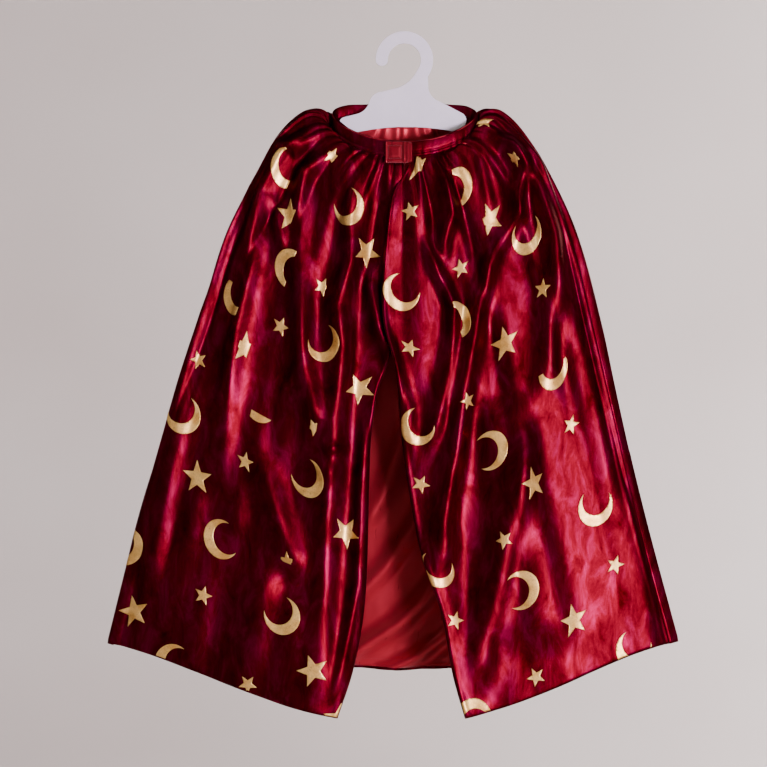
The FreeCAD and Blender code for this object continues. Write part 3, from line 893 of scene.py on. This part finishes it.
def print_piece(name, grid, marks, right, outward, body=None, bend=None):
    """All the foil of one panel as one mesh of thin film."""
    cloth = ClothMap(grid, FOIL_LIFT, outward)
    vertices = []
    faces = []
    for kind, x, z, turn, *shown in marks:
        if kind == "moon":
            outline = moon(MOON, turn)
        else:
            outline = star(BIG_STAR if kind == "star" else SMALL_STAR, turn)
        for side, limit in enumerate(shown):
            outline = clipped(outline, side // 2, limit, -1 if side % 2 else 1)
        points, triangles = filled(outline)
        row, column = cloth.nearest(x, z)
        placed, inside = cloth.place(row, column, points, right)
        start = len(vertices)
        vertices += placed
        for face in triangles:
            if all(inside[k] for k in face):
                faces.append(tuple(start + k for k in face))
    item = mesh_object(name, vertices, faces, FOIL)
    with edited(item.data) as work:
        loose = [v for v in work.verts if not v.link_faces]
        bmesh.ops.delete(work, geom=loose, context="VERTS")
    thicken(item, FOIL_THICKNESS * MM, 1.0)
    return finish_piece(item, body, bend)


def back_marks():
    """The same print scattered over the back, turned and spaced like the front's."""
    random = np.random.default_rng(14)
    kinds = ("moon", "small", "star", "small")
    marks = []
    for row, z in enumerate(np.arange(-112.0, -690.0, -58.0)):
        reach = np.interp(-z, [90, 200, 400, 690], [110, 195, 245, 320])
        for place, x in enumerate(np.arange(-reach + 24 + (row % 3) * 27, reach - 22, 77)):
            turn = random.uniform(20, 200) if (place + row) % 2 else random.uniform(-10, 60)
            across, down = x + random.uniform(-13, 13), z + random.uniform(-19, 19)
            if all(math.hypot(across - mark[1], down - mark[2]) > BACK_MARK_GAP for mark in marks):
                marks.append((kinds[(place + 3 * row) % 4], across, down, turn))
    return marks


def make_print():
    print_piece("front_left_foil_print", GRIDS["front_left"], FRONT_LEFT_PRINT, -1, -1, bend=BEND[-1])
    print_piece("front_right_foil_print", GRIDS["front_right"], FRONT_RIGHT_PRINT, 1, 1, bend=BEND[1])
    print_piece("back_foil_print", GRIDS["back"], back_marks(), -1, 1, body="cape_back")


# ================ hanger, tab, tapes, label
def make_hanger():
    """The die-cut card with its arrises softened."""
    item = new_object("card_hanger_sheet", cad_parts["card_hanger"].data.copy())
    item.data.materials.clear()
    item.data.materials.append(CARD)
    with edited(item.data) as work:
        bmesh.ops.remove_doubles(work, verts=work.verts, dist=1e-5)
        bmesh.ops.dissolve_limit(work, angle_limit=math.radians(2), verts=work.verts, edges=work.edges)
        sharp = [e for e in work.edges if e.is_manifold and e.calc_face_angle(0) > math.radians(60)]
        bmesh.ops.bevel(work, geom=sharp, offset=0.35 * MM, segments=3, profile=0.6, affect="EDGES")
    item.data.polygons.foreach_set("use_smooth", [False] * len(item.data.polygons))
    finish_piece(item, "hanger", replaces=["card_hanger"])


def soft_block(name, low, high, material, crown=0.4, corner=1.6, cells=28, relief=None):
    """Cushioned little sheet: a rounded plate crowned towards the front, with its own relief."""
    width = (high.x - low.x) / MM
    height = (high.z - low.z) / MM
    thick = (high.y - low.y) / MM
    shrink = 0.30 * min(1.0, 2 * corner / min(width, height))
    vertices = []
    count = cells + 1
    for face in (0, 1):
        for i in range(count):
            for j in range(count):
                u = 2 * i / cells - 1
                v = 2 * j / cells - 1
                x = u * width / 2 * (1 - shrink * abs(v) ** 8)
                z = v * height / 2 * (1 - shrink * abs(u) ** 8)
                rim = (1 - abs(u) ** 6) * (1 - abs(v) ** 6)
                y = (thick / 2) * (0.35 + 0.65 * rim ** 0.4)
                if not face:
                    y = -y - crown * rim - (relief(u, v) if relief else 0.0)
                vertices.append((x, y, z))
    vertices = np.array((low + high) / 2) + np.array(vertices) * MM
    front = grid_faces(count, count)
    layer = count * count
    faces = front + [tuple(k + layer for k in face[::-1]) for face in front]
    ring = ([k * count for k in range(count)] + [layer - count + k for k in range(1, count)]
            + [k * count + count - 1 for k in range(count - 2, -1, -1)]
            + list(range(count - 2, 0, -1)))
    faces += [(a, b, b + layer, a + layer) for a, b in zip(ring, ring[1:] + ring[:1])]
    item = mesh_object(name, vertices, faces, material)
    fix_normals(item)
    return item


def stitch_mesh(name, paths, radius, material):
    """Short thread stitches, one small capsule along each pair of points."""
    mesh = bpy.data.meshes.new(name)
    with edited(mesh) as work:
        for start, end in paths:
            start, end = Vector(start), Vector(end)
            spin = (end - start).to_track_quat("Z", "Y").to_matrix().to_4x4()
            size = Matrix.Diagonal((radius, radius, (end - start).length / 2, 1))
            place = Matrix.Translation((start + end) / 2) @ spin @ size
            bmesh.ops.create_icosphere(work, subdivisions=1, radius=1.0, matrix=place)
    mesh.materials.append(material)
    mesh.polygons.foreach_set("use_smooth", [True] * len(mesh.polygons))
    return new_object(name, mesh)


def running_stitches(line, pitch, first, last):
    """Ends of the stitches along a line; first and last are shares of the pitch."""
    length = run_length(line)
    count = int(length[-1] / (pitch * MM))
    at = (np.arange(count)[:, None] + [first, last]) / count * length[-1]
    ends = [np.interp(at, length, line[:, axis]) for axis in range(3)]
    return np.stack(ends, axis=-1).tolist()


def square_stitches(low, high, y, inset):
    """Running stitches round a square on the front of a tab."""
    left, right = low.x + inset, high.x - inset
    bottom, top = low.z + inset, high.z - inset
    corners = [(left, y, bottom), (right, y, bottom), (right, y, top), (left, y, top)]
    paths = []
    for side in zip(corners, corners[1:] + corners[:1]):
        paths += running_stitches(np.array(side), 2.0, 0.12, 0.88)
    return paths


TAB_SQUARE_LEFT, TAB_SQUARE_RIGHT = -0.74, 0.40
TAB_SQUARE_BOTTOM, TAB_SQUARE_TOP = -0.58, 0.62
ZIGZAG_STEP = 1.4


def tab_relief(u, v):
    """Upright fold on the right, hemmed edges, and the groove drawn in by the stitched square."""
    fold = 2.0 * math.exp(-((u - 0.66) / 0.11) ** 2) * (1 - 0.6 * abs(v) ** 4)
    hem = 0.35 * math.exp(-((u + 0.93) / 0.04) ** 2) + 0.35 * math.exp(-((v - 0.93) / 0.04) ** 2)
    outside_u = max(TAB_SQUARE_LEFT - u, u - TAB_SQUARE_RIGHT)
    outside_v = max(TAB_SQUARE_BOTTOM - v, v - TAB_SQUARE_TOP)
    groove = 0.8 * math.exp(-(max(outside_u, outside_v) / 0.06) ** 2)
    pillow = 0.8 * min(1.0, max(0.0, -max(outside_u, outside_v) / 0.3)) ** 0.5
    fall = 1.7 * smooth_step(0.76, 1.0, u)
    return fold + hem - groove + pillow - fall


def make_tab_root(low, high):
    """Turned end of the tab, which runs back onto the neckband where it is sewn."""
    rows, columns = 14, 10
    grid = []
    for t in np.arange(rows) / (rows - 1):
        x = high.x - 1.2 * MM + 5.2 * MM * t
        y = low.y + 0.2 * MM + 3.9 * MM * smooth_step(0, 1, t)
        pinch = 1.5 * MM * t
        grid += [(x, y, z) for z in np.linspace(low.z + pinch, high.z - pinch, columns)]
    item = mesh_object("closure_tab_root", grid, grid_faces(rows, columns), TAB_SATIN)
    thicken(item, 0.8 * MM, 0.0)
    finish_piece(item, "front_right")


def zigzag_stitches(low, high):
    """Zigzag over the tab's lower edge."""
    y = low.y - 0.2 * MM
    levels = [low.z - 0.3 * MM, low.z + 1.7 * MM]
    stitches = []
    for x in np.arange(low.x + 1.0 * MM, high.x - 1.5 * MM, ZIGZAG_STEP * MM):
        stitches.append(((x, y, levels[0]), (x + ZIGZAG_STEP * MM, y, levels[1])))
        levels.reverse()
    return stitches


def make_closure():
    low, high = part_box("closure_tab")
    low = Vector((low.x - 1.0 * MM, low.y, low.z - 3.0 * MM))
    high = Vector((high.x - 0.6 * MM, high.y, high.z - 1.2 * MM))
    tab = soft_block("closure_tab_satin", low, high, TAB_SATIN, crown=0.35, cells=72,
                     relief=tab_relief)
    finish_piece(tab, "closure_tab", replaces=["closure_tab"])
    make_tab_root(low, high)
    front = low.y - 0.35 * MM
    middle, half = (low + high) / 2, (high - low) / 2
    square_low = middle + half * Vector((TAB_SQUARE_LEFT, 0, TAB_SQUARE_BOTTOM))
    square_high = middle + half * Vector((TAB_SQUARE_RIGHT, 0, TAB_SQUARE_TOP))
    stitches = square_stitches(square_low, square_high, front, 0.0)
    stitches += zigzag_stitches(low, high)
    sewn = stitch_mesh("tab_stitching", stitches, 0.3 * MM, TAB_THREAD)
    finish_piece(sewn, "closure_tab", replaces=["tab_thread"])
    for node, body in (("loop_tape", "front_left"), ("hook_tape", "closure_tab")):
        low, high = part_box(node)
        pad = soft_block(node + "_base", low, high, TAPE, crown=0.0, corner=0.8, cells=18)
        finish_piece(pad, body, replaces=[node])
    low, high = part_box("loop_tape")
    sewn = stitch_mesh("loop_tape_stitching", square_stitches(low, high, low.y, 1.2 * MM),
                       0.2 * MM, THREAD)
    finish_piece(sewn, "front_left", replaces=["loop_tape_thread"])


def make_label():
    low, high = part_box("care_label")
    label = soft_block("care_label_cloth", low, high, LABEL, crown=1.2, corner=0.5)
    finish_piece(label, "cape_back", replaces=["care_label"])


def edge_stitches(name, lines, node, body=None, bend=None):
    """Fine understitching on the lining, along lines of points."""
    paths = []
    for line in lines:
        paths += running_stitches(line, 3.0, 0.15, 0.8)
    item = stitch_mesh(name, paths, 0.22 * MM, THREAD)
    finish_piece(item, body, bend, [node])


def make_seams():
    """Understitching along hems, front edges and side seams, on the lining."""
    hem_row = ROWS - 5
    inset_column = 3
    inward = np.array([0.0, LINING_THICKNESS * MM, 0.0])
    for side, name in SIDES:
        lining = GRIDS[name + "_lining"] + inward
        lines = [lining[8:hem_row, inset_column], lining[hem_row, inset_column:]]
        edge_stitches(name + "_edge_stitching", lines, name + "_edge_thread", bend=BEND[side])
    lining = GRIDS["back_lining"]
    edge_stitches("back_hem_stitching", [lining[hem_row] - inward], "back_hem_thread", "cape_back")
    for column, word in ((1, "right"), (-2, "left")):
        edge_stitches(word + "_side_seam_stitching", [lining[8:hem_row, column]],
                      word + "_side_seam_thread", "cape_back")


# ================ stage
FLOOR_HEIGHT, ROOM_RADIUS, ROOM_BEND, WALL_TOP = -1.6, 5.6, 1.4, 5.0
LIGHT_TARGET = (0.0, 0.0, -0.38)
# name, place, width, power, colour, aim (metres and watts)
LIGHTS = [
    ("left_key", (-1.7, -1.3, 1.3), 0.4, 4, (1.0, 0.98, 0.96), LIGHT_TARGET),
    ("right_window", (1.5, -2.35, -0.62), 0.75, 112, (0.94, 0.76, 1.0), LIGHT_TARGET),
    ("top_fill", (0.9, -2.3, 1.5), 0.5, 12, (1.0, 0.96, 0.95), LIGHT_TARGET),
    ("back_left", (-1.1, 2.5, 0.9), 0.6, 48, (1.0, 0.98, 0.96), LIGHT_TARGET),
    ("back_right", (1.3, 2.4, 0.4), 0.6, 34, (1.0, 0.98, 0.97), LIGHT_TARGET),
    ("backdrop_wash", (3.9, 3.2, 0.6), 0.8, 860, (0.97, 0.95, 1.0), (2.9, 4.9, -0.2)),
    ("front_wall_wash", (1.8, -3.6, 2.6), 0.8, 45, (1.0, 0.96, 0.95), (1.2, -5.6, 0.0)),
]
CAMERA_X, CAMERA_Z, CAMERA_LENS, PICTURE_WIDTH = -0.024, -0.372, 135, 0.882


def make_backdrop():
    """Pale round floor sweeping up into a pale wall."""
    material, tree, shader = new_material("backdrop")
    tone = noise(tree, coordinates(tree), 1.2, 2.0)
    colour = spread(tree, tone, (0.385, 0.335, 0.31), (0.42, 0.37, 0.345))
    set_inputs(shader, {"Base Color": colour, "Roughness": 0.9})
    profile = [(0.02, FLOOR_HEIGHT)]
    for turn in np.linspace(0, math.pi / 2, 13):
        profile.append((ROOM_RADIUS - ROOM_BEND + ROOM_BEND * math.sin(turn),
                        FLOOR_HEIGHT + ROOM_BEND - ROOM_BEND * math.cos(turn)))
    profile.append((ROOM_RADIUS, WALL_TOP))
    segments = 72
    vertices = []
    for reach, height in profile:
        for k in range(segments):
            turn = 2 * math.pi * k / segments
            vertices.append((reach * math.cos(turn), reach * math.sin(turn), height))
    faces = tube_faces(len(profile), segments, capped=False)
    mesh_object("backdrop_sweep", vertices, faces, material)


def make_lights():
    world = bpy.data.worlds.new("studio")
    world.use_nodes = True
    set_inputs(world.node_tree.nodes["Background"],
               {"Color": (0.93, 0.90, 0.88, 1.0), "Strength": 0.04})
    bpy.context.scene.world = world
    for name, place, width, power, colour, aim in LIGHTS:
        lamp = bpy.data.lights.new(name, "AREA")
        lamp.shape = "SQUARE"
        lamp.size = width
        lamp.energy = power
        lamp.color = colour
        item = new_object(name, lamp)
        item.location = place
        item.rotation_euler = (Vector(aim) - Vector(place)).to_track_quat("-Z", "Y").to_euler()


def make_camera():
    """Long lens straight in front, far enough back to see the whole cape."""
    camera_data = bpy.data.cameras.new("camera")
    camera_data.lens = CAMERA_LENS
    camera = new_object("camera", camera_data)
    distance = PICTURE_WIDTH * CAMERA_LENS / camera_data.sensor_width
    camera.location = (CAMERA_X, -distance, CAMERA_Z)
    camera.rotation_euler = (math.pi / 2, 0, 0)
    bpy.context.scene.camera = camera


make_backdrop()
make_lights()
make_camera()
make_cloth_panels()
make_neckband()
make_hanger()
make_closure()
make_label()
make_seams()
make_print()
